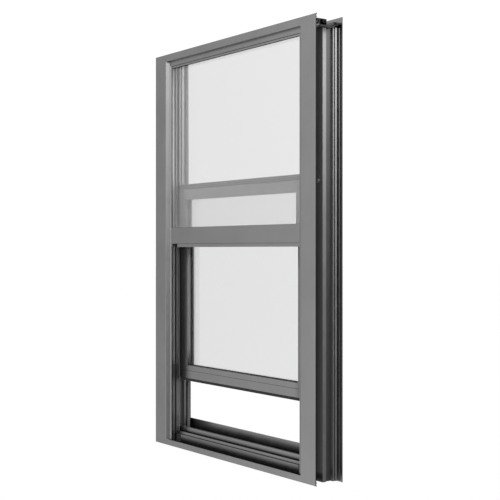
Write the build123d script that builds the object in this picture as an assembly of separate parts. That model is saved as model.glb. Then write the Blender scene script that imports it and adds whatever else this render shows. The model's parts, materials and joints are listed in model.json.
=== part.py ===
from build123d import *
import os

# Single-hung aluminium window. The upper light is fixed in the front of the frame and the lower sash
# slides up behind it. The sash stands part way up, with a clear gap over the sill.
# Sections are drawn in (u, d): u runs in from the window's outer edge and d back from its exterior plane.

# Overall size
WIDTH = 800.0
HEIGHT = 1200.0
DEPTH = 89.0

# Extrusion walls and running gaps
WALL = 2.0
FLANGE_T = 2.4
EDGE_LAND = 0.2
FIT_GAP = 0.2
RUN_GAP = 0.3

# Flanges and the recess of the body behind them
JAMB_FACE = 63.0
HEAD_FACE = 22.1
SILL_FACE = 17.6
HEAD_RECESS = 12.0
HEAD_REAR_RECESS = 16.0
HEAD_REAR_FACE = 20.0
SILL_RECESS = 5.0
JAMB_STEP_RECESS = 10.0
JAMB_GROOVE_RECESS = 15.0
JAMB_STEP_FRONT = 31.0
JAMB_STEP_BACK = 42.5
JAMB_WEB_FRONT = 5.0
JAMB_CROSS = 52.0
JAMB_RIB_RECESS = 5.0
JAMB_RIBS = ((60.8, 64.1), (67.6, 73.9), (80.9, 84.2))
RIB_T = 1.65
FLANGE_RIB_T = 1.5
FLANGE_RIB_H = 2.6
FLANGE_RIB_PITCH = 7.6

# Glazing rebate of the fixed light
RETURN_DEPTH = 10.5
JAMB_RETURN = 6.5
HEAD_RETURN = 0.6
POCKET_SETBACK = 4.5
NOSE_R = 4.2
NOSE_WALL = 1.4
JAMB_BEAD = 10.5
HEAD_BEAD = 14.3
BEAD_LIP = 7.5
BEAD_LIP_T = 1.2
BEAD_LIP_FRONT = 12.0
BEAD_HOOK = 0.8
HEAD_FLOOR = 29.0
HEAD_BOX_BACK = 36.0
HEAD_STEP = 62.0
HEAD_STOP = 36.5
GLASS_FRONT = 13.5
PANE = 6.0
CAVITY = 8.0
STOP_FRONT = 34.0
GASKET_SHOW = 0.3
GASKET_W = 6.0
GLASS_BITE = 13.0
SPACER_INSET = 2.0
SPACER_W = 5.0
SPACER_WALL = 1.0
BLOCK_L = 80.0

# Meeting rail
RAIL_BOTTOM = 618.4
RAIL_H = 49.1
RAIL_LIP = 10.4
RAIL_LIP_SETBACK = 30.0
RAIL_POCKET = 15.5

# Screen track in the lower half of the jambs
TRACK_GROOVE = 8.0
TRACK_RIBS = ((15.5, 21.5), (27.3, 33.8))

# Sill
SILL_WALL_FRONT = 27.0
SILL_WALL_TOP = 35.0
SILL_GROOVE = 33.0
SILL_RIDGE = 43.2
SILL_RIDGE_FRONT = 31.0
SILL_RIDGE_W = 4.5
SILL_SHELF = 35.0
SILL_DAM = 57.0
SILL_DAM_FRONT = 42.5
SILL_DAM_W = 7.5
SILL_UPSTAND = 76.0

# Sash
SASH_BOTTOM = 199.6
SASH_H = 599.8
SASH_SIDE_GAP = 5.0
SASH_FRONT = 40.0
SASH_BACK = 70.0
STILE_W = 54.5
STILE_GROOVE_AT = 34.0
STILE_GROOVE_W = 2.5
STILE_GROOVE_DEEP = 0.8
TOP_RAIL_H = 46.4
BOTTOM_RAIL_H = 47.6
TOP_RAIL_HOOK = 16.0
TOP_RAIL_SETBACK = 5.0
TOP_RAIL_RIBS = (4.0, 9.5)
TOP_RAIL_RIB_T = 1.5
BOTTOM_RAIL_LAP = 8.4
SASH_GLASS_FRONT = 53.2
SASH_PANE = 3.0
SASH_CAVITY = 6.0
SASH_BITE = 20.0
SASH_STOP_BACK = 52.0
SASH_GASKET_SHOW = 1.0
SASH_BEAD_SETBACK = 4.5
CHANNEL_FRONT = 46.5
CHANNEL_BACK = 67.5
CHANNEL_DEEP = 18.0

# Guides and balances in the jamb pocket
FIN_FRONT = 58.0
FIN_BACK = 65.0
FIN_DEEP = 11.0
LEG_FRONT = 76.0
GUIDE_H = 40.0
GUIDE_WALL = 1.0
PILE_W = 6.0
BALANCE_R = 4.8
BALANCE_WALL = 0.8
BALANCE_AT = 51.7
BALANCE_TOP_GAP = 4.0
BALANCE_L = 500.0
BUSH_H = 8.0
ROD_R = 2.5
ROD_ENTRY = 60.0
FOOT_W = 8.0
FOOT_H = 5.0
SEAL_W = 8.0
SEAL_WALL = 1.2

# Screws and screw ports
SCREW_HEAD_R = 5.5
SCREW_HEAD_T = 2.4
PORT_R = 4.0
PORT_HOLE_R = 2.1
PORT_SLOT = 2.0
HEAD_PORTS = ((17.5, 9.0), (17.5, 28.0), (21.5, 70.0))
JAMB_PORTS = (24.0, 46.0)
JAMB_SCREW_RECESS = 27.0
JAMB_SCREW_Z = 777.0

# Places that follow from the sizes above
HALF = WIDTH / 2
BASE = JAMB_FACE + JAMB_RETURN
POCKET = BASE - POCKET_SETBACK
INNER = BASE + JAMB_BEAD
HEAD_BASE = HEAD_FACE + HEAD_RETURN
HEAD_INNER = HEAD_BASE + HEAD_BEAD
HEAD_SIGHT = HEAD_INNER + BEAD_LIP
RETURN_BACK = RETURN_DEPTH + WALL
RAIL_TOP = RAIL_BOTTOM + RAIL_H
STOP_BACK = STOP_FRONT + WALL
GLASS_BACK = GLASS_FRONT + 2 * PANE + CAVITY
REAR_FLANGE = DEPTH - FLANGE_T
SASH_OUT = POCKET + SASH_SIDE_GAP
SASH_IN = SASH_OUT + STILE_W
SASH_TOP = SASH_BOTTOM + SASH_H
SASH_GLASS_BACK = SASH_GLASS_FRONT + 2 * SASH_PANE + SASH_CAVITY
EDGE_R = FLANGE_T - EDGE_LAND
PORT_SEAT = PORT_R - PORT_SLOT / 4
ORIGIN = (0.0, DEPTH / 2, SILL_RECESS)


def bar(u0, u1, d0, d1):
    """One rectangular wall of a section."""
    return Pos((u0 + u1) / 2, (d0 + d1) / 2) * Rectangle(u1 - u0, d1 - d0)


def outline(*points):
    """One wall of a section with sloping sides."""
    return make_face(Polyline(*points, close=True))


def join(walls):
    """The section made by its walls."""
    section = walls[0]
    for wall in walls[1:]:
        section += wall
    return section


def upright(section, z0, z1):
    """A left-hand section run up from z0 to z1."""
    return extrude(Plane((-HALF, 0, z0), (1, 0, 0), (0, 0, 1)) * section, z1 - z0)


def overhead(section, reach):
    """A section whose u runs down from the top, over x = -reach to reach."""
    return extrude(Plane((-reach, 0, HEIGHT), (0, 0, -1), (1, 0, 0)) * section, 2 * reach)


def level(section, reach, z=0.0):
    """A section whose u runs up from height z, over x = -reach to reach."""
    return extrude(Plane((reach, 0, z), (0, 0, 1), (-1, 0, 0)) * section, 2 * reach)


def mirrored(shape):
    """The right-hand twin of a left-hand piece."""
    return mirror(shape, about=Plane.YZ)


def block(x0, x1, y0, y1, z0, z1):
    """A box between two corners."""
    return Pos((x0 + x1) / 2, (y0 + y1) / 2, (z0 + z1) / 2) * Box(x1 - x0, y1 - y0, z1 - z0)


def frame_ring(reach_out, z0_out, z1_out, reach_in, z0_in, z1_in, d0, d1):
    """A flat ring between two upright rectangles, from depth d0 to d1."""
    outer = block(-reach_out, reach_out, d0, d1, z0_out, z1_out)
    return outer - block(-reach_in, reach_in, d0, d1, z0_in, z1_in)


def screw_port(u, d):
    """An open screw port of an extrusion, with its slot towards the inside."""
    ring = Pos(u, d) * (Circle(PORT_R) - Circle(PORT_HOLE_R))
    return ring - bar(u, u + PORT_R, d - PORT_SLOT / 2, d + PORT_SLOT / 2)


def save(name, shape):
    """Writes one piece, moved so that the origin lies on the underside of the sill."""
    shift = Pos(-ORIGIN[0], -ORIGIN[1], -ORIGIN[2])
    solids = [shift * solid for solid in shape.solids()]
    piece = solids[0] if len(solids) == 1 else Compound(solids)
    piece.label = name
    export_step(piece, f"parts/{name}.step")


def rib(tip, root, front, back):
    """A hollow rib of an extrusion from its tip at u = tip to its root."""
    low, high = sorted((tip, root))
    cap = tip if tip < root else tip - WALL
    return [
        bar(low, high, front, front + RIB_T),
        bar(low, high, back - RIB_T, back),
        bar(cap, cap + WALL, front, back),
    ]


def flange_ribs():
    """The two small ribs behind the exterior flange of the head and the sill."""
    back = FLANGE_T + FLANGE_RIB_H
    return bar(0, FLANGE_RIB_T, 0, back) + bar(FLANGE_RIB_PITCH, FLANGE_RIB_PITCH + FLANGE_RIB_T, 0, back)


def rounded():
    """The space that the frame's members fill, with the outer edges of both flanges rounded."""
    body = block(-HALF, HALF, 0, REAR_FLANGE, 0, HEIGHT)
    back = block(-HALF, HALF, REAR_FLANGE, DEPTH, 0, HEIGHT)
    space = fillet(body.faces().sort_by(Axis.Y)[0].edges(), EDGE_R)
    return space + fillet(back.faces().sort_by(Axis.Y)[0].edges(), EDGE_R)


def nose():
    """The hollow half-round along the outer edge of the glazing rebate."""
    ring = Pos(BASE + NOSE_R, RETURN_BACK) * (Circle(NOSE_R) - Circle(NOSE_R - NOSE_WALL))
    return ring - bar(BASE, BASE + 2 * NOSE_R, RETURN_BACK, RETURN_BACK + NOSE_R)


def rebate_face():
    """The face that closes the side of the glazing rebate, from its nose to the glass."""
    return nose() + bar(BASE + 2 * NOSE_R - NOSE_WALL, INNER, RETURN_DEPTH, RETURN_BACK)


def sill_walls():
    """Walls of the sill between the jambs, from the front flange to the interior upstand."""
    ridge_back = SILL_RIDGE_FRONT + SILL_RIDGE_W
    dam_back = SILL_DAM_FRONT + SILL_DAM_W
    return [
        bar(0, SILL_FACE, 0, FLANGE_T),
        bar(SILL_RECESS, SILL_RECESS + WALL, 0, DEPTH),
        bar(SILL_RECESS, SILL_WALL_TOP, SILL_WALL_FRONT, SILL_WALL_FRONT + WALL),
        bar(SILL_GROOVE - WALL, SILL_GROOVE, SILL_WALL_FRONT, SILL_RIDGE_FRONT + WALL),
        bar(SILL_GROOVE - WALL, SILL_RIDGE, SILL_RIDGE_FRONT, SILL_RIDGE_FRONT + WALL),
        bar(SILL_RIDGE - WALL, SILL_RIDGE, SILL_RIDGE_FRONT, ridge_back),
        bar(SILL_SHELF - WALL, SILL_RIDGE, ridge_back - WALL, ridge_back),
        bar(SILL_SHELF - WALL, SILL_SHELF, ridge_back - WALL, SILL_DAM_FRONT + WALL),
        bar(SILL_SHELF - WALL, SILL_DAM, SILL_DAM_FRONT, SILL_DAM_FRONT + WALL),
        bar(SILL_DAM - WALL, SILL_DAM, SILL_DAM_FRONT, dam_back),
        bar(SILL_RECESS, SILL_DAM, dam_back - WALL, dam_back),
        bar(0, SILL_UPSTAND, REAR_FLANGE, DEPTH),
    ]


def sill_block():
    """The space under the sill's upper skin, which the jambs and tracks are coped to."""
    ridge_back = SILL_RIDGE_FRONT + SILL_RIDGE_W
    dam_back = SILL_DAM_FRONT + SILL_DAM_W
    floor = SILL_RECESS + WALL
    wall_back = SILL_WALL_FRONT + WALL
    skin = outline((SILL_RECESS, FLANGE_T), (floor, FLANGE_T), (floor, SILL_WALL_FRONT),
                   (SILL_WALL_TOP, SILL_WALL_FRONT), (SILL_WALL_TOP, wall_back),
                   (SILL_GROOVE, wall_back), (SILL_GROOVE, SILL_RIDGE_FRONT),
                   (SILL_RIDGE, SILL_RIDGE_FRONT), (SILL_RIDGE, ridge_back), (SILL_SHELF, ridge_back),
                   (SILL_SHELF, SILL_DAM_FRONT), (SILL_DAM, SILL_DAM_FRONT), (SILL_DAM, dam_back),
                   (floor, dam_back), (floor, REAR_FLANGE), (SILL_RECESS, REAR_FLANGE))
    return level(skin, HALF - POCKET)


def make_sill():
    """Sill between the jambs, with flanges that run the full width."""
    body = level(join(sill_walls()), HALF - POCKET)
    flanges = level(bar(0, SILL_FACE, 0, FLANGE_T) + bar(0, SILL_FACE, REAR_FLANGE, DEPTH), HALF)
    return (body + flanges + level(flange_ribs(), HALF)) & rounded()


def make_jamb():
    """Left jamb: a chambered extrusion set back behind its flange, with ribs on its outer side."""
    groove_in = JAMB_GROOVE_RECESS + WALL
    walls = [
        bar(0, JAMB_FACE, 0, FLANGE_T),
        outline((JAMB_FACE - WALL, 0), (JAMB_FACE, 0), (BASE, RETURN_DEPTH), (BASE, RETURN_BACK),
                (BASE - WALL, RETURN_BACK), (BASE - WALL, RETURN_DEPTH)),
        bar(POCKET - WALL, POCKET, JAMB_WEB_FRONT, DEPTH),
        bar(JAMB_STEP_RECESS, POCKET, JAMB_STEP_FRONT, JAMB_STEP_FRONT + WALL),
        bar(JAMB_STEP_RECESS, JAMB_STEP_RECESS + WALL, JAMB_STEP_FRONT, JAMB_STEP_BACK),
        bar(JAMB_STEP_RECESS, groove_in, JAMB_STEP_BACK - WALL, JAMB_STEP_BACK),
        bar(JAMB_GROOVE_RECESS, groove_in, JAMB_STEP_BACK - WALL, DEPTH),
        bar(JAMB_GROOVE_RECESS, POCKET, JAMB_CROSS, JAMB_CROSS + WALL),
        bar(POCKET - WALL, INNER, STOP_FRONT, STOP_BACK),
        bar(POCKET - WALL, INNER, LEG_FRONT, LEG_FRONT + WALL),
        bar(0, POCKET, REAR_FLANGE, DEPTH),
    ]
    walls += rib(POCKET + FIN_DEEP, POCKET - WALL, FIN_FRONT, FIN_BACK)
    for front, back in JAMB_RIBS:
        walls += rib(JAMB_RIB_RECESS, groove_in, front, back)
    for u in JAMB_PORTS:
        walls.append(screw_port(u, JAMB_CROSS - PORT_SEAT))
    section = join(walls)
    corner = section.vertices().sort_by_distance((JAMB_FACE, 0, 0))[0]
    jamb = upright(fillet(corner, EDGE_R), SILL_RECESS, HEIGHT - HEAD_REAR_FACE)
    low = block(-HALF, -HALF + BASE, 0, FLANGE_T, 0, SILL_FACE)
    low += block(-HALF, -HALF + BASE, REAR_FLANGE, DEPTH, 0, SILL_FACE)
    low += block(-HALF, -HALF + BASE, 0, FLANGE_T + FLANGE_RIB_H, 0, FLANGE_RIB_PITCH + FLANGE_RIB_T)
    high = block(-HALF, -HALF + INNER, 0, RETURN_BACK, HEIGHT - HEAD_FACE, HEIGHT)
    high += block(-HALF, -HALF + INNER, RETURN_BACK, REAR_FLANGE, HEIGHT - HEAD_FLOOR, HEIGHT)
    return (jamb - low - high - sill_block()) & rounded()


def make_head():
    """Head that runs over the jambs, with its rebate between them."""
    box = [
        bar(0, HEAD_FACE, 0, FLANGE_T),
        bar(HEAD_RECESS, HEAD_RECESS + WALL, 0, HEAD_BOX_BACK),
        bar(HEAD_RECESS, HEAD_FLOOR, RETURN_BACK, RETURN_BACK + WALL),
        bar(HEAD_RECESS, HEAD_FLOOR, STOP_FRONT, HEAD_BOX_BACK),
        bar(HEAD_FLOOR - WALL, HEAD_FLOOR, RETURN_BACK, HEAD_STEP),
        bar(HEAD_REAR_RECESS, HEAD_FLOOR, HEAD_STEP - WALL, HEAD_STEP),
        bar(HEAD_REAR_RECESS, HEAD_REAR_RECESS + WALL, HEAD_STEP - WALL, DEPTH),
        bar(0, HEAD_REAR_FACE, REAR_FLANGE, DEPTH),
        flange_ribs(),
    ]
    for u, d in HEAD_PORTS:
        box.append(screw_port(u, d))
    rebate = outline((HEAD_FACE - WALL, 0), (HEAD_FACE, 0), (HEAD_BASE, RETURN_DEPTH),
                     (HEAD_BASE, RETURN_BACK + WALL), (HEAD_BASE - WALL, RETURN_BACK + WALL),
                     (HEAD_BASE - WALL, RETURN_DEPTH))
    beside = upright(outline((0, 0), (JAMB_FACE, 0), (BASE, RETURN_DEPTH), (BASE, RETURN_BACK + WALL),
                             (0, RETURN_BACK + WALL)), HEIGHT - HEAD_INNER, HEIGHT)
    lip = overhead(rebate, HALF - JAMB_FACE) - beside - mirrored(beside)
    lip -= block(-HALF, HALF, 0, FLANGE_T, HEIGHT - HEAD_FACE, HEIGHT)
    stop = overhead(bar(HEAD_FLOOR - WALL, HEAD_STOP, STOP_FRONT, STOP_BACK), HALF - INNER)
    return (overhead(join(box), HALF) + lip + stop) & rounded()


def make_meeting_rail():
    """Fixed rail between the jambs that carries the upper light."""
    pocket = RAIL_H - RAIL_POCKET
    seat = pocket - 2 * WALL
    face = level(bar(0, RAIL_H, RETURN_DEPTH, RETURN_BACK), HALF - INNER - FIT_GAP, RAIL_BOTTOM)
    walls = [
        bar(pocket - WALL, pocket, RETURN_BACK, STOP_FRONT),
        bar(0, pocket, STOP_FRONT - WALL, STOP_FRONT),
        bar(0, WALL, RETURN_BACK, STOP_FRONT),
    ]
    rail = face + level(join(walls), HALF - POCKET - FIT_GAP, RAIL_BOTTOM)
    stop = bar(seat, pocket, STOP_FRONT - WALL, STOP_BACK) + bar(seat, RAIL_H, STOP_FRONT, STOP_BACK)
    lip = bar(-RAIL_LIP, WALL, RETURN_BACK, RETURN_BACK + WALL)
    rail += level(stop, HALF - INNER - FIT_GAP, RAIL_BOTTOM)
    return rail + level(lip, HALF - INNER - RAIL_LIP_SETBACK, RAIL_BOTTOM)


def make_beads():
    """Upright beads that run down past the meeting rail's ends, and the head bead over them."""
    hook = bar(BASE - WALL, BASE + WALL, RETURN_BACK, RETURN_BACK + BEAD_HOOK)
    side = upright(rebate_face(), RAIL_BOTTOM - RAIL_LIP, HEIGHT - HEAD_INNER)
    side += upright(hook, RAIL_TOP, HEIGHT - HEAD_INNER)
    head_face = bar(HEAD_BASE, HEAD_INNER, RETURN_DEPTH, RETURN_BACK)
    lip = bar(HEAD_INNER - WALL, HEAD_SIGHT, BEAD_LIP_FRONT, BEAD_LIP_FRONT + BEAD_LIP_T)
    head = overhead(head_face, HALF - BASE) + overhead(lip, HALF - INNER)
    return side, head


def make_track():
    """Screen track that closes the empty rebate below the meeting rail."""
    floor = INNER - TRACK_GROOVE
    walls = [
        rebate_face(),
        bar(floor - WALL, floor, RETURN_BACK - NOSE_WALL, TRACK_RIBS[-1][1]),
    ]
    for front, back in TRACK_RIBS:
        walls += rib(INNER, floor - WALL, front, back)
    track = upright(join(walls), SILL_RECESS, RAIL_BOTTOM - RAIL_LIP - FIT_GAP)
    return track - sill_block()


def glass_sets(sight_out, z0, z1, front, pane, cavity):
    """Two panes and the hollow spacer bar between them."""
    panes = []
    for d in (front, front + pane + cavity):
        panes.append(block(-sight_out, sight_out, d, d + pane, z0, z1))
    inset = SPACER_INSET
    width = SPACER_W
    spacer = frame_ring(sight_out - inset, z0 + inset, z1 - inset,
                        sight_out - inset - width, z0 + inset + width, z1 - inset - width,
                        front + pane, front + pane + cavity)
    hollow_in = inset + SPACER_WALL
    hollow_out = inset + width - SPACER_WALL
    spacer -= frame_ring(sight_out - hollow_in, z0 + hollow_in, z1 - hollow_in,
                         sight_out - hollow_out, z0 + hollow_out, z1 - hollow_out,
                         front + pane + SPACER_WALL, front + pane + cavity - SPACER_WALL)
    return panes[0], panes[1], spacer


def setting_blocks(reach, d0, d1, z0, z1):
    """The two blocks that carry a unit's lower edge, each half way out from the middle."""
    blocks = []
    for x in (-reach / 2, reach / 2):
        blocks.append(block(x - BLOCK_L / 2, x + BLOCK_L / 2, d0, d1, z0, z1))
    return Compound(blocks)


def make_upper_light():
    """Fixed insulated unit with its gaskets and setting blocks."""
    side = INNER + GASKET_SHOW
    reach = HALF - INNER + GLASS_BITE
    z0 = RAIL_TOP - GLASS_BITE
    z1 = HEIGHT - HEAD_SIGHT + GLASS_BITE
    outer, inner, spacer = glass_sets(reach, z0, z1, GLASS_FRONT, PANE, CAVITY)
    low = RAIL_TOP + GASKET_SHOW
    lip_back = BEAD_LIP_FRONT + BEAD_LIP_T
    sight = HEIGHT - HEAD_SIGHT - GASKET_SHOW
    gasket = frame_ring(HALF - side + GASKET_W, low - GASKET_W, sight + GASKET_W,
                        HALF - side, low, sight, lip_back, GLASS_FRONT)
    gasket += frame_ring(HALF - side + GASKET_W, low - GASKET_W, HEIGHT - HEAD_SIGHT,
                         HALF - side, low, HEIGHT, RETURN_BACK, lip_back)
    stop = HEIGHT - HEAD_STOP - GASKET_SHOW
    rear = frame_ring(HALF - side + GASKET_W, low - GASKET_W, stop + GASKET_W - WALL,
                      HALF - side, low, stop, GLASS_BACK, STOP_FRONT)
    floor = RAIL_BOTTOM + RAIL_H - RAIL_POCKET
    blocks = setting_blocks(reach, GLASS_FRONT, GLASS_BACK, floor, z0)
    return outer, inner, spacer, gasket, rear, blocks


def make_stile():
    """Left stile between the sash rails, with the channel that runs over the jamb's fin."""
    pocket = SASH_IN - SASH_BITE
    channel = SASH_OUT + CHANNEL_DEEP
    groove = SASH_OUT + STILE_GROOVE_AT
    walls = [
        bar(SASH_OUT, SASH_IN, SASH_FRONT, SASH_FRONT + WALL),
        bar(SASH_IN - WALL, SASH_IN, SASH_FRONT, SASH_STOP_BACK),
        bar(pocket - WALL, SASH_IN, SASH_STOP_BACK - WALL, SASH_STOP_BACK),
        bar(pocket - WALL, pocket, SASH_STOP_BACK - WALL, SASH_BACK),
        bar(SASH_OUT, SASH_OUT + WALL, SASH_FRONT, CHANNEL_FRONT),
        bar(SASH_OUT, channel + WALL, CHANNEL_FRONT - WALL, CHANNEL_FRONT),
        bar(channel, channel + WALL, CHANNEL_FRONT - WALL, CHANNEL_BACK + WALL),
        bar(SASH_OUT, pocket, CHANNEL_BACK, CHANNEL_BACK + WALL),
    ]
    section = join(walls) - bar(groove, groove + STILE_GROOVE_W, SASH_FRONT, SASH_FRONT + STILE_GROOVE_DEEP)
    return upright(section, SASH_BOTTOM + BOTTOM_RAIL_H, SASH_TOP - TOP_RAIL_H)


def coped(rail):
    """Clears the ends of a sash rail for the jamb's fin and the balance."""
    end = block(-HALF + SASH_OUT, -HALF + SASH_OUT + CHANNEL_DEEP, CHANNEL_FRONT, CHANNEL_BACK,
                SASH_BOTTOM, SASH_TOP)
    return rail - end - mirrored(end)


def make_top_rail():
    """Top rail with the ribbed, set-back interlock edge; u runs down from the sash's top."""
    pocket = TOP_RAIL_H - SASH_BITE
    hook = SASH_FRONT + TOP_RAIL_SETBACK
    walls = [
        bar(TOP_RAIL_HOOK, TOP_RAIL_H, SASH_FRONT, SASH_FRONT + WALL),
        bar(TOP_RAIL_HOOK, TOP_RAIL_HOOK + WALL, SASH_FRONT, hook + WALL),
        bar(0, TOP_RAIL_HOOK + WALL, hook, hook + WALL),
        bar(0, WALL, hook - WALL, SASH_BACK),
        bar(TOP_RAIL_H - WALL, TOP_RAIL_H, SASH_FRONT, SASH_STOP_BACK),
        bar(pocket - WALL, TOP_RAIL_H, SASH_STOP_BACK - WALL, SASH_STOP_BACK),
        bar(pocket - WALL, pocket, SASH_STOP_BACK - WALL, SASH_BACK),
        bar(0, pocket, SASH_BACK - WALL, SASH_BACK),
    ]
    for u in TOP_RAIL_RIBS:
        walls.append(bar(u, u + TOP_RAIL_RIB_T, hook - WALL, hook))
    rail = overhead(join(walls), HALF - SASH_OUT)
    return coped(Pos(0, 0, SASH_TOP - HEIGHT) * rail)


def make_bottom_rail():
    """Bottom rail, a hollow box over the seal; u runs up from the seal's foot."""
    pocket = BOTTOM_RAIL_H - SASH_BITE
    walls = [
        bar(BOTTOM_RAIL_LAP, BOTTOM_RAIL_H, SASH_FRONT, SASH_FRONT + WALL),
        bar(BOTTOM_RAIL_LAP, BOTTOM_RAIL_LAP + WALL, SASH_FRONT, SASH_BACK),
        bar(BOTTOM_RAIL_LAP, pocket, SASH_BACK - WALL, SASH_BACK),
        bar(BOTTOM_RAIL_H - WALL, BOTTOM_RAIL_H, SASH_FRONT, SASH_STOP_BACK),
        bar(pocket - WALL, BOTTOM_RAIL_H, SASH_STOP_BACK - WALL, SASH_STOP_BACK),
        bar(pocket - WALL, pocket, SASH_STOP_BACK - WALL, SASH_BACK),
    ]
    return coped(level(join(walls), HALF - SASH_OUT, SASH_BOTTOM))


def make_sash_light():
    """Insulated unit of the sash with its gaskets, setting blocks and interior beads."""
    reach = HALF - SASH_IN
    low = SASH_BOTTOM + BOTTOM_RAIL_H
    high = SASH_TOP - TOP_RAIL_H
    bite = SASH_BITE - WALL
    outer, inner, spacer = glass_sets(reach + bite, low - bite, high + bite,
                                      SASH_GLASS_FRONT, SASH_PANE, SASH_CAVITY)
    show = SASH_GASKET_SHOW
    front = frame_ring(reach + GASKET_W, low - GASKET_W, high + GASKET_W,
                       reach - show, low + show, high - show, SASH_STOP_BACK, SASH_GLASS_FRONT)
    back = SASH_GLASS_BACK + BEAD_LIP_T
    setback = SASH_BEAD_SETBACK
    rear = frame_ring(reach + setback + GASKET_W, low - setback - GASKET_W, high + setback + GASKET_W,
                      reach + setback, low - setback, high + setback, SASH_GLASS_BACK, back)
    wide = reach + SASH_BITE
    sight = reach + setback
    top = high + setback
    foot = low - setback
    beads = {
        "sash_bead_top": block(-wide, wide, back, SASH_BACK, top, high + SASH_BITE),
        "sash_bead_bottom": block(-wide, wide, back, SASH_BACK, low - SASH_BITE, foot),
        "sash_bead_left": block(-wide, -sight, back, SASH_BACK, foot, top),
        "sash_bead_right": block(sight, wide, back, SASH_BACK, foot, top),
    }
    blocks = setting_blocks(reach, SASH_GLASS_FRONT, SASH_GLASS_BACK, low - SASH_BITE, low - bite)
    return outer, inner, spacer, (front, rear), beads, blocks


def make_guides():
    """Four nylon guides in the stile channels, each straddling the jamb's fin."""
    x0 = -HALF + POCKET + RUN_GAP
    deep = -HALF + SASH_OUT + CHANNEL_DEEP
    tip = -HALF + POCKET + FIN_DEEP + RUN_GAP
    front = FIN_FRONT - RUN_GAP
    back = FIN_BACK + RUN_GAP
    guides = []
    for z in (SASH_BOTTOM + BOTTOM_RAIL_H + WALL, SASH_TOP - TOP_RAIL_H - GUIDE_H - WALL):
        guide = block(x0, deep, front - GUIDE_WALL, back + GUIDE_WALL, z, z + GUIDE_H)
        guide -= block(x0, tip, front, back, z, z + GUIDE_H)
        guides += [guide, mirrored(guide)]
    return Compound(guides)


def make_balance():
    """Left spiral balance: a tube hung at the top of the jamb and the rod down to the sash's foot."""
    x = -HALF + POCKET + BALANCE_R
    top = HEIGHT - HEAD_FLOOR - BALANCE_TOP_GAP
    low = top - BALANCE_L
    tube = Pos(x, BALANCE_AT, top - BALANCE_L / 2) * (
        Cylinder(BALANCE_R, BALANCE_L) - Cylinder(BALANCE_R - BALANCE_WALL, BALANCE_L))
    tube += Pos(x, BALANCE_AT, low + BUSH_H / 2) * (
        Cylinder(BALANCE_R, BUSH_H) - Cylinder(ROD_R + RUN_GAP, BUSH_H))
    foot = SASH_BOTTOM + BOTTOM_RAIL_LAP + WALL
    rod_top = low + ROD_ENTRY
    rod = Pos(x, BALANCE_AT, (foot + rod_top) / 2) * Cylinder(ROD_R, rod_top - foot)
    rod += block(x, -HALF + SASH_OUT + CHANNEL_DEEP, BALANCE_AT - FOOT_W / 2, BALANCE_AT + FOOT_W / 2,
                 foot, foot + FOOT_H)
    return tube, rod


def make_jamb_strips():
    """Pile weatherstrips on the jambs' stops and inner legs, against both faces of the sash."""
    x1 = -HALF + INNER - RUN_GAP
    top = HEIGHT - HEAD_FLOOR - RUN_GAP
    front = block(x1 - PILE_W, x1, STOP_BACK, SASH_FRONT - RUN_GAP, SILL_SHELF + RUN_GAP, top)
    rear = block(x1 - PILE_W, x1, SASH_BACK + RUN_GAP, LEG_FRONT, SILL_SHELF + RUN_GAP, top)
    return Compound([front, mirrored(front), rear, mirrored(rear)])


def make_meeting_strip():
    """Pile weatherstrip on the rear of the meeting rail."""
    reach = HALF - INNER
    z = RAIL_BOTTOM + WALL
    return block(-reach, reach, STOP_FRONT, SASH_FRONT - RUN_GAP, z, z + PILE_W)


def make_bottom_seal():
    """Rubber seal under the bottom rail, a square tube that lands on the sill's dam."""
    back = SILL_DAM_FRONT + SEAL_W
    inside = BOTTOM_RAIL_LAP - SEAL_WALL
    tube = bar(0, BOTTOM_RAIL_LAP, SILL_DAM_FRONT, back)
    tube -= bar(SEAL_WALL, inside, SILL_DAM_FRONT + SEAL_WALL, back - SEAL_WALL)
    return level(tube, HALF - SASH_OUT - CHANNEL_DEEP, SASH_BOTTOM)


def screw_head(x, y, z, turn):
    """A pan head whose underside is at a point, turned to face outwards."""
    return Pos(x, y, z) * turn * Pos(0, 0, SCREW_HEAD_T / 2) * Cylinder(SCREW_HEAD_R, SCREW_HEAD_T)


def make_jamb_screws():
    """Screw head on the front wall of each jamb, behind the flange."""
    head = screw_head(HALF - JAMB_SCREW_RECESS, JAMB_STEP_FRONT, JAMB_SCREW_Z, Rot(90, 0, 0))
    return Compound([mirrored(head), head])


def make_frame_screws():
    """Screw heads on top of the head, driven down into the ports of the jambs."""
    heads = []
    for u in JAMB_PORTS:
        head = screw_head(HALF - u, JAMB_CROSS - PORT_SEAT, HEIGHT - HEAD_FLOOR + WALL, Rot(0, 0, 0))
        heads += [head, mirrored(head)]
    return Compound(heads)


os.makedirs("parts", exist_ok=True)

left = make_jamb()
right = mirrored(left)
save("frame_jamb_left", left)
save("frame_jamb_right", right)
save("frame_head", make_head())
save("frame_sill", make_sill())
save("meeting_rail", make_meeting_rail())

side_bead, head_bead = make_beads()
save("glazing_bead_left", side_bead)
save("glazing_bead_right", mirrored(side_bead))
save("glazing_bead_head", head_bead)

track = make_track()
save("screen_track_left", track)
save("screen_track_right", mirrored(track))

pane_out, pane_in, spacer_bar, front_gasket, rear_gasket, setting = make_upper_light()
save("upper_glass_outer", pane_out)
save("upper_glass_inner", pane_in)
save("upper_glass_spacer", spacer_bar)
save("upper_gasket_front", front_gasket)
save("upper_gasket_rear", rear_gasket)
save("upper_setting_blocks", setting)

stile = make_stile()
save("sash_stile_left", stile)
save("sash_stile_right", mirrored(stile))
save("sash_top_rail", make_top_rail())
save("sash_bottom_rail", make_bottom_rail())

pane_out, pane_in, spacer_bar, sash_gaskets, sash_beads, setting = make_sash_light()
save("sash_glass_outer", pane_out)
save("sash_glass_inner", pane_in)
save("sash_glass_spacer", spacer_bar)
save("sash_gasket_front", sash_gaskets[0])
save("sash_gasket_rear", sash_gaskets[1])
save("sash_setting_blocks", setting)
for bead_name, bead in sash_beads.items():
    save(bead_name, bead)

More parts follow.
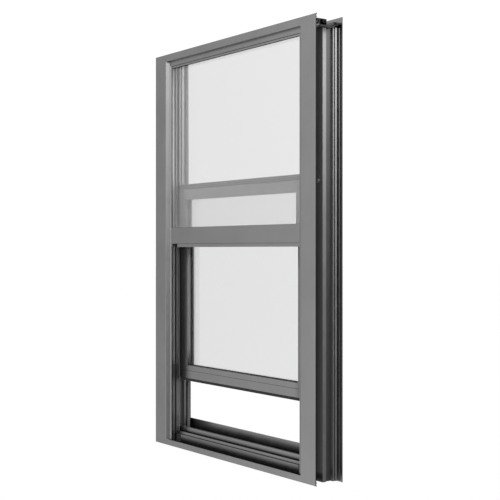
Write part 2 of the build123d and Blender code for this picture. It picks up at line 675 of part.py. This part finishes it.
save("sash_guides", make_guides())
balance_tube, balance_rod = make_balance()
save("balance_tube_left", balance_tube)
save("balance_tube_right", mirrored(balance_tube))
save("balance_rod_left", balance_rod)
save("balance_rod_right", mirrored(balance_rod))
save("jamb_weatherstrips", make_jamb_strips())
save("meeting_weatherstrip", make_meeting_strip())
save("sash_bottom_seal", make_bottom_seal())
save("balance_screws", make_jamb_screws())
save("frame_screws", make_frame_screws())
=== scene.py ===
# A single-hung window, dressed and lit as in its photograph
import math

import bmesh
import bpy
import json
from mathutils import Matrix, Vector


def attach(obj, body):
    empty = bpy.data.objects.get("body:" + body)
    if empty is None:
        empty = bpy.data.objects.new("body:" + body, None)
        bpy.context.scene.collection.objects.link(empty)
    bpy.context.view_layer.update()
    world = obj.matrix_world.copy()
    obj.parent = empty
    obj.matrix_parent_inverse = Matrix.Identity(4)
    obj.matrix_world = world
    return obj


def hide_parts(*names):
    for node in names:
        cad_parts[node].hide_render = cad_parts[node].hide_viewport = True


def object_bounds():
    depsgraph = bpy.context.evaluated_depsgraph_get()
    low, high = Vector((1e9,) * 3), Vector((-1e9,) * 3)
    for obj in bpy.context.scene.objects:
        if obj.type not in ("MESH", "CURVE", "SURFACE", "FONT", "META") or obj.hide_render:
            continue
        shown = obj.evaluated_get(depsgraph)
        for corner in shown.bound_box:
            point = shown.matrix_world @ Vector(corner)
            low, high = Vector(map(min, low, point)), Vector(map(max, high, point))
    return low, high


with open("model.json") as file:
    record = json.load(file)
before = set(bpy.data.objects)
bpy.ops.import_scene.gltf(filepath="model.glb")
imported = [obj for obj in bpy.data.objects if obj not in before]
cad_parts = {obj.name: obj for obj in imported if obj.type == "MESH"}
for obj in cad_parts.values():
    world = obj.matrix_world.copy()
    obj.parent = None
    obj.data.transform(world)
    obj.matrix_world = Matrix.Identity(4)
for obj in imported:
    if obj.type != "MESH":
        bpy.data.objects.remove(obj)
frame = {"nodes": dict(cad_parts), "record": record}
CAD_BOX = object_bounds()

MM = 0.001
# The frame's origin in window mm: across from the middle, in from the exterior, up from the flange's foot
ORIGIN = (0.0, 44.5, 5.0)

# Where the photograph was taken from, in metres and degrees of the frame, and the shift of its framing
CAMERA_AT = (2.5838, -1.7888, 0.5950)
CAMERA_AZIMUTH = 54.82
LENS_MM = 79.34
SENSOR_MM = 36.0
SIDE_SHIFT = 0.0011
HORIZON_SHIFT = -0.0007
CLIP_END = 200.0

FLOOR_Z = CAD_BOX[0][2]
FLOOR_SIZE = 60.0

# Light of the studio: left to right in front, low to high on the right, and behind on the left
FRONT_LEVELS = (0.39, 2.03)
SIDE_LEVELS = (0.33, 4.4)
BACK_LEVEL = 0.2
# Where the light changes, by the X, Y or Z of its direction
FRONT_SPAN = (-1.0, -0.5)
RISE_SPAN = (0.02, 0.27)
RIGHT_SPAN = (-0.3, 0.4)
BACK_SPAN = (-0.1, 0.35)
LEFT_SPAN = (-0.2, 0.2)
# White of the backdrop, seen straight on and through the glass
SEEN_LEVEL = 1.05
THROUGH_LEVEL = 0.82

# Powder coat: its tones, its roughness, and the strength and depth in metres of its orange peel
COAT_TONES = (0.192, 0.208)
COAT_ROUGHNESS = (0.29, 0.33)
COAT_PEEL = (0.04, 0.00015)
# Rays that measure how open a place on the coat is, for painted shade in its hollows
HOLLOW_SAMPLES = 48
# Painted shade: openness with its darkening factor on the coat's colour, from deep in a groove to flush, and
# the rays' reach in metres
GROOVE_PAINTED_SHADE = ((0.2, 0.07), (0.35, 0.16), (0.86, 0.40), (0.97, 1.0))
GROOVE_REACH = 0.06
SASH_PAINTED_SHADE = ((0.4, 0.26), (0.7, 0.32), (0.88, 0.44), (0.97, 1.0))
SASH_REACH = 0.07
SILL_PAINTED_SHADE = ((0.3, 0.2), (0.55, 0.36), (0.72, 0.66), (0.86, 1.0))
SILL_REACH = 0.05
# Painted shade on the frame's outer edges and cut ends: half widths in metres between which they turn dark,
# and the factor there
EDGE_SPAN = (0.3983, 0.3995)
EDGE_SHADE_TONE = 0.1

GLASS_IOR = 1.6
GLASS_TINT = (0.98, 0.98, 0.982, 1.0)
SASH_GLASS_TINT = (0.96, 0.961, 0.965, 1.0)
# Where a ramp over noise begins and ends
NOISE_SPAN = (0.35, 0.65)
# Inputs of a Mix node for numbers
MIX_FACTOR, MIX_LOW, MIX_HIGH = 0, 2, 3

# Pan heads in mm, with how far the dome falls off to its rim, and the rings and turns that draw them
HEAD_R = 5.5
HEAD_T = 2.4
HEAD_DOME = 0.8
CROSS_REACH = 2.9
CROSS_HALF = 0.55
CROSS_DEEP = 1.3
HEAD_RINGS = 22
HEAD_TURNS = 64
# How a pan head lies: the directions of its two sides and of its crown
FACING_FRONT = ((1, 0, 0), (0, 0, 1), (0, -1, 0))
FACING_UP = ((1, 0, 0), (0, 1, 0), (0, 0, 1))
# Undersides of the pan heads in window mm: on the jambs' front walls, and on top of the frame's head
JAMB_SCREWS = [(across, 31.0, 777.0) for across in (-373.0, 373.0)]
HEAD_SCREWS = [(across, 48.5, 1173.0) for across in (-376.0, -354.0, 354.0, 376.0)]

# Spans across the window in mm: between the jambs, over the sash's glass and along its bottom rail
JAMBS = (-319.5, 319.5)
SASH_LIGHT = (-274.4, 274.4)
SASH_RAIL = (-327.0, 327.0)
# Weep covers in mm: their spans across, and the depths and heights of both
WEEP_RIGHT = (294.9, 319.4)
WEEP_LEFT = (-WEEP_RIGHT[1], -WEEP_RIGHT[0])
WEEP_DEPTHS = (26.2, 27.0)
WEEP_HEIGHTS = (12.0, 34.6)
# Eased edges of the trim in mm: plates, the upper light's wedge and painted shadow line, the sash's wedge and
# its black sheet of painted shade on the ledge, and thin dark lines
PLATE_EDGE = 0.3
WEDGE_EDGE = 0.15
SASH_WEDGE_EDGE = 0.4
SASH_SHADE_SHEET_EDGE = 0.2
DARK_LINE_EDGE = 0.08
# Trim in window mm: its spans across, in from the exterior and up, then its slot and its eased edge
TRIM = {
    "meeting_rail_lip_end": ((290.0, 319.5), (12.5, 14.5), (608.0, 618.4), "frame_coating", PLATE_EDGE),
    "head_bead_wedge": (JAMBS, (11.4, 13.5), (1154.8, 1156.4), "gasket", WEDGE_EDGE),
    # Painted shadow: a black strip for the shade line between the head's bead and its lip
    "head_bead_painted_shadow": (JAMBS, (11.4, 12.0), (1161.9, 1162.9), "gasket", WEDGE_EDGE),
    "weep_cover_left": (WEEP_LEFT, WEEP_DEPTHS, WEEP_HEIGHTS, "gasket", PLATE_EDGE),
    "weep_cover_right": (WEEP_RIGHT, WEEP_DEPTHS, WEEP_HEIGHTS, "gasket", PLATE_EDGE),
    # A thin dark strip along the sill
    "sill_dark_line": (JAMBS, (30.5, 31.0), (34.6, 36.2), "gasket", DARK_LINE_EDGE),
    "sash_wedge_bottom": (SASH_LIGHT, (50.6, 53.1), (247.3, 249.6), "gasket", SASH_WEDGE_EDGE),
    # Painted shade: a thin black sheet over the sash's ledge, darkening it
    "sash_ledge_painted_shade": (SASH_LIGHT, (42.2, 50.8), (247.25, 247.95), "gasket", SASH_SHADE_SHEET_EDGE),
    # A thin dark strip across the bottom rail's face
    "bottom_rail_dark_line": (SASH_RAIL, (39.8, 40.2), (231.3, 231.8), "gasket", DARK_LINE_EDGE),
    # Painted shadow: a black strip for the shade line between the meeting rail's face and its lip
    "meeting_rail_painted_shadow": ((-288.0, 319.0), (12.2, 12.7), (617.6, 618.3), "gasket", DARK_LINE_EDGE),
}

FINISHES = {}


def grey(value):
    return (value, value, value, 1.0)


def add(tree, kind, **values):
    """A node of that kind, with its properties and its unlinked inputs set."""
    node = tree.nodes.new(kind)
    for name, value in values.items():
        if hasattr(node, name):
            setattr(node, name, value)
        else:
            node.inputs[name.replace("_", " ")].default_value = value
    return node


def link(tree, source, out, target, socket):
    tree.links.new(source.outputs[out], target.inputs[socket])


def emptied(owner):
    """The node tree of a material or world, with nothing in it."""
    owner.use_nodes = True
    owner.node_tree.nodes.clear()
    return owner.node_tree


def surface(name, **values):
    """A material with a Principled shader; returns the material, its tree and the shader."""
    material = bpy.data.materials.new(name)
    tree = emptied(material)
    shader = add(tree, "ShaderNodeBsdfPrincipled", **values)
    out = add(tree, "ShaderNodeOutputMaterial")
    link(tree, shader, "BSDF", out, "Surface")
    return material, tree, shader


def noise(tree, scale, detail=3.0):
    """Noise in object space, in features per metre."""
    coords = add(tree, "ShaderNodeTexCoord")
    texture = add(tree, "ShaderNodeTexNoise", Scale=scale, Detail=detail)
    link(tree, coords, "Object", texture, "Vector")
    return texture


def ramp(tree, source, out, stops):
    """A grey for each value, by stops of a position and a tone."""
    node = add(tree, "ShaderNodeValToRGB")
    elements = node.color_ramp.elements
    for index, (at, tone) in enumerate(stops):
        stop = elements[index] if index < len(elements) else elements.new(at)
        stop.position = at
        stop.color = grey(tone)
    link(tree, source, out, node, "Fac")
    return node


def mottle(tree, scale, tones, detail=3.0):
    """A grey that wanders between two tones."""
    return ramp(tree, noise(tree, scale, detail), "Fac", tuple(zip(NOISE_SPAN, tones)))


def spread(tree, source, out, span, levels):
    """A smooth change from one level to the other while the source crosses the span."""
    node = add(tree, "ShaderNodeMapRange", interpolation_type="SMOOTHSTEP",
               From_Min=span[0], From_Max=span[1], To_Min=levels[0], To_Max=levels[1])
    link(tree, source, out, node, "Value")
    return node


def blend(tree, factor, low, high):
    """A mix of two levels, each a socket or a number; returns the socket of the result."""
    node = add(tree, "ShaderNodeMix", data_type="FLOAT")
    tree.links.new(factor, node.inputs[MIX_FACTOR])
    for slot, value in ((MIX_LOW, low), (MIX_HIGH, high)):
        if isinstance(value, float):
            node.inputs[slot].default_value = value
        else:
            tree.links.new(value, node.inputs[slot])
    return node.outputs[0]


def add_bump(tree, shader, texture, strength, distance):
    bump = add(tree, "ShaderNodeBump", Strength=strength, Distance=distance)
    link(tree, texture, "Fac", bump, "Height")
    link(tree, bump, "Normal", shader, "Normal")


def painted_hollow_shade(tree, shades, reach):
    """Painted shade: a factor on the colour that falls with the depth of a groove or recess."""
    hollow = add(tree, "ShaderNodeAmbientOcclusion", samples=HOLLOW_SAMPLES, Distance=reach)
    return ramp(tree, hollow, "AO", shades)


def painted_edge_shade(tree):
    """Painted shade: a factor on the colour that falls at the outer edges left and right, of the flanges and
    the head's cut ends.
    """
    coords = add(tree, "ShaderNodeTexCoord")
    split = add(tree, "ShaderNodeSeparateXYZ")
    link(tree, coords, "Object", split, "Vector")
    side = add(tree, "ShaderNodeMath", operation="ABSOLUTE")
    tree.links.new(split.outputs["X"], side.inputs[0])
    return spread(tree, side, "Value", EDGE_SPAN, (1.0, EDGE_SHADE_TONE))


def darker(tree, colour, factor, out):
    """The colour times a factor; returns the socket of the result."""
    product = add(tree, "ShaderNodeVectorMath", operation="MULTIPLY")
    tree.links.new(colour, product.inputs[0])
    tree.links.new(factor.outputs[out], product.inputs[1])
    return product.outputs["Vector"]


def coating(name, shades=None, reach=0.0, edges=False):
    """Satin grey powder coat: fine orange peel, with slow variation of tone and sheen; optional painted shade
    darkens its hollows and outer edges.
    """
    material, tree, shader = surface(name, Metallic=1.0)
    colour = mottle(tree, scale=9.0, tones=COAT_TONES, detail=4.0).outputs["Color"]
    if shades:
        # Painted shade: the colour is darkened in grooves and recesses
        colour = darker(tree, colour, painted_hollow_shade(tree, shades, reach), "Color")
    if edges:
        # Painted shade: the colour is darkened at the outer edges and cut ends
        colour = darker(tree, colour, painted_edge_shade(tree), "Result")
    tree.links.new(colour, shader.inputs["Base Color"])
    sheen = mottle(tree, scale=60.0, tones=COAT_ROUGHNESS, detail=2.0)
    link(tree, sheen, "Color", shader, "Roughness")
    add_bump(tree, shader, noise(tree, scale=1400.0, detail=2.0), *COAT_PEEL)
    return material


def glass(name, tint):
    """Clear float glass."""
    return surface(name, Base_Color=tint, Transmission_Weight=1.0, Roughness=0.0, IOR=GLASS_IOR)[0]


def mottled(name, scale, tones, **values):
    """A grey material that is mottled between two tones; returns the material, its tree and the shader."""
    material, tree, shader = surface(name, **values)
    link(tree, mottle(tree, scale, tones), "Color", shader, "Base Color")
    return material, tree, shader


def rubber():
    """Black extruded rubber, nearly without shine."""
    material, tree, shader = mottled("gasket", scale=300.0, tones=(0.008, 0.02), Roughness=0.7,
                                     Specular_IOR_Level=0.12)
    add_bump(tree, shader, noise(tree, scale=900.0), strength=0.15, distance=0.0002)
    return material


def pile():
    """Dense dark bristles of the weatherstrips."""
    material, tree, shader = mottled("pile", scale=2500.0, tones=(0.02, 0.09), Roughness=0.95)
    add_bump(tree, shader, noise(tree, scale=3000.0), strength=0.6, distance=0.0005)
    return material


def nylon():
    """Black nylon of the sash's guides."""
    return mottled("nylon", scale=400.0, tones=(0.03, 0.05), Roughness=0.45)[0]


def steel(name, tones):
    """Plated steel: lighter on the balance tubes, dark on the screws."""
    return mottled(name, scale=500.0, tones=tones, Metallic=1.0, Roughness=0.35)[0]


def spacer_bar():
    """Bright aluminium between the panes."""
    return mottled("spacer_bar", scale=400.0, tones=(0.62, 0.72), Metallic=1.0, Roughness=0.4)[0]


def make_finishes():
    """The finish of each slot, and the screws' own."""
    FINISHES["frame_coating"] = coating("frame_coating")
    FINISHES["glass"] = glass("glass", GLASS_TINT)
    FINISHES["gasket"] = rubber()
    FINISHES["pile"] = pile()
    FINISHES["nylon"] = nylon()
    FINISHES["steel"] = steel("steel", (0.16, 0.22))
    FINISHES["screw"] = steel("screw_steel", (0.05, 0.07))
    FINISHES["spacer_bar"] = spacer_bar()


def paint(material, *names):
    """Gives the named nodes a finish of their own."""
    for name in names:
        frame["nodes"][name].data.materials[0] = material


def dress():
    """Gives each node the finish of its slot, then the coats with painted shade and the sash's glass."""
    for entry in frame["record"]["subparts"]:
        mesh = frame["nodes"][entry["node"]].data
        mesh.materials.clear()
        mesh.materials.append(FINISHES[entry["material_slot"]])
    # A coat with painted shade at its outer edges and cut ends
    shaded_edge = coating("shaded_edge_coating", edges=True)
    paint(shaded_edge, "frame_head", "frame_jamb_left")
    # Coats with painted shade in their grooves and recesses
    groove_shaded = coating("groove_shaded_coating", GROOVE_PAINTED_SHADE, GROOVE_REACH, edges=True)
    paint(groove_shaded, "frame_jamb_right", "sash_top_rail")
    paint(coating("sill_shaded_coating", SILL_PAINTED_SHADE, SILL_REACH, edges=True), "frame_sill")
    recess_shaded = coating("recess_shaded_coating", SASH_PAINTED_SHADE, SASH_REACH)
    paint(recess_shaded, "sash_stile_left", "sash_stile_right", "sash_bottom_rail")
    paint(glass("sash_glass", SASH_GLASS_TINT), "sash_glass_outer", "sash_glass_inner")


def set_rays():
    """Keeps the panes from casting shadows, and the right jamb and the sash's stiles out of reflections."""
    for name in ("upper_glass_outer", "upper_glass_inner", "sash_glass_outer", "sash_glass_inner"):
        frame["nodes"][name].visible_shadow = False
    for name in ("frame_jamb_right", "sash_stile_left", "sash_stile_right"):
        frame["nodes"][name].visible_glossy = False


def set_camera():
    data = bpy.data.cameras.new("camera")
    data.lens = LENS_MM
    data.sensor_width = SENSOR_MM
    data.shift_x = SIDE_SHIFT
    data.shift_y = HORIZON_SHIFT
    data.clip_end = CLIP_END
    camera = bpy.data.objects.new("camera", data)
    camera.location = CAMERA_AT
    camera.rotation_euler = (math.radians(90.0), 0.0, math.radians(CAMERA_AZIMUTH))
    bpy.context.scene.collection.objects.link(camera)
    bpy.context.scene.camera = camera


def set_world():
    """White backdrop, and studio light that is strongest high on the right."""
    world = bpy.data.worlds.new("studio")
    bpy.context.scene.world = world
    tree = emptied(world)
    coords = add(tree, "ShaderNodeTexCoord")
    split = add(tree, "ShaderNodeSeparateXYZ")
    link(tree, coords, "Generated", split, "Vector")
    front = spread(tree, split, "X", FRONT_SPAN, FRONT_LEVELS)
    rise = spread(tree, split, "Z", RISE_SPAN, SIDE_LEVELS)
    right = spread(tree, split, "X", RIGHT_SPAN, (0.0, 1.0))
    back = spread(tree, split, "Y", BACK_SPAN, (0.0, 1.0))
    left = spread(tree, split, "X", LEFT_SPAN, (1.0, 0.0))
    shaded = add(tree, "ShaderNodeMath", operation="MULTIPLY")
    tree.links.new(back.outputs["Result"], shaded.inputs[0])
    tree.links.new(left.outputs["Result"], shaded.inputs[1])
    lit = blend(tree, right.outputs["Result"], front.outputs["Result"], rise.outputs["Result"])
    level = blend(tree, shaded.outputs["Value"], lit, BACK_LEVEL)
    path = add(tree, "ShaderNodeLightPath")
    through = blend(tree, path.outputs["Is Transmission Ray"], level, THROUGH_LEVEL)
    strength = blend(tree, path.outputs["Is Camera Ray"], through, SEEN_LEVEL)
    background = add(tree, "ShaderNodeBackground", Color=grey(1.0))
    tree.links.new(strength, background.inputs["Strength"])
    out = add(tree, "ShaderNodeOutputWorld")
    link(tree, background, "Background", out, "Surface")


def lay_floor():
    """Plain pale floor, bright enough to pass into the backdrop."""
    half = FLOOR_SIZE / 2
    mesh = bpy.data.meshes.new("floor")
    corners = [(-half, -half, FLOOR_Z), (half, -half, FLOOR_Z), (half, half, FLOOR_Z), (-half, half, FLOOR_Z)]
    mesh.from_pydata(corners, [], [(0, 1, 2, 3)])
    floor = bpy.data.objects.new("floor", mesh)
    bpy.context.scene.collection.objects.link(floor)
    material, tree, shader = surface("floor", Base_Color=grey(0.0), Roughness=0.9, Specular_IOR_Level=0.0,
                                     Emission_Color=grey(1.0))
    path = add(tree, "ShaderNodeLightPath")
    glow = blend(tree, path.outputs["Is Transmission Ray"], 1.0, THROUGH_LEVEL)
    tree.links.new(glow, shader.inputs["Emission Strength"])
    mesh.materials.append(material)
    floor.visible_diffuse = False
    floor.visible_glossy = False
    floor.visible_shadow = False


def in_frame(point):
    """Window mm as metres of the frame."""
    return [(value - start) * MM for value, start in zip(point, ORIGIN)]


def fixed_piece(name, work, finish):
    """Turns a bmesh into a piece that is fixed to the window."""
    mesh = bpy.data.meshes.new(name)
    work.to_mesh(mesh)
    work.free()
    mesh.materials.append(FINISHES[finish])
    piece = bpy.data.objects.new(name, mesh)
    bpy.context.scene.collection.objects.link(piece)
    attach(piece, "root")
    return piece


def strip(name, spans, slot, edge):
    """A strip with eased edges, between its spans across, in and up in window mm."""
    work = bmesh.new()
    bmesh.ops.create_cube(work, size=1.0)
    bmesh.ops.scale(work, vec=[(high - low) * MM for low, high in spans], verts=work.verts)
    bmesh.ops.translate(work, vec=in_frame([(low + high) / 2 for low, high in spans]), verts=work.verts)
    bmesh.ops.bevel(work, geom=work.edges[:], offset=edge * MM, segments=2, affect="EDGES")
    fixed_piece(name, work, slot)


def add_trim():
    """The closed end of the meeting rail's lip, weep covers, wedges, black strips of painted shadow at the
    head's bead and the meeting rail, a black sheet of painted shade on the sash's ledge, and thin dark lines
    on the sill and the bottom rail.
    """
    for name, (*spans, slot, edge) in TRIM.items():
        strip(name, spans, slot, edge)


def crown(across, along):
    """Height of a pan head over its underside: domed, and sunk in its cross recess."""
    for one, other in ((across, along), (along, across)):
        if abs(one) < CROSS_HALF and abs(other) < CROSS_REACH:
            return HEAD_T - CROSS_DEEP
    return HEAD_T * math.sqrt(1.0 - HEAD_DOME * (math.hypot(across, along) / HEAD_R) ** 4)


def add_head(work, place, lie):
    """Draws one pan head; place is the middle of its underside, and lie the way that it faces."""

    def vertex(across, along, height):
        axes = zip(place, *lie)
        return work.verts.new(in_frame([at + across * a + along * b + height * c for at, a, b, c in axes]))

    def circle(radius, height=None):
        around = [math.tau * turn / HEAD_TURNS for turn in range(HEAD_TURNS)]
        points = [(radius * math.cos(angle), radius * math.sin(angle)) for angle in around]
        return [vertex(*point, crown(*point) if height is None else height) for point in points]

    centre = vertex(0.0, 0.0, crown(0.0, 0.0))
    rows = [circle(HEAD_R * ring / HEAD_RINGS) for ring in range(1, HEAD_RINGS + 1)]
    rim = circle(HEAD_R, 0.0)
    rows.append(rim)
    for turn in range(HEAD_TURNS):
        after = (turn + 1) % HEAD_TURNS
        work.faces.new((centre, rows[0][turn], rows[0][after]))
        for inner, outer in zip(rows, rows[1:]):
            work.faces.new((inner[turn], outer[turn], outer[after], inner[after]))
    work.faces.new(rim)


def pan_heads(name, node, places, lie):
    """Pan heads with a cross recess, in place of a node's plain ones."""
    work = bmesh.new()
    for place in places:
        add_head(work, place, lie)
    bmesh.ops.recalc_face_normals(work, faces=work.faces)
    piece = fixed_piece(name, work, "screw")
    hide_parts(node)


bpy.context.scene.view_settings.view_transform = "Standard"
set_camera()
set_world()
lay_floor()
make_finishes()
dress()
set_rays()
add_trim()
pan_heads("jamb_screw_heads", "balance_screws", JAMB_SCREWS, FACING_FRONT)
pan_heads("head_screw_heads", "frame_screws", HEAD_SCREWS, FACING_UP)
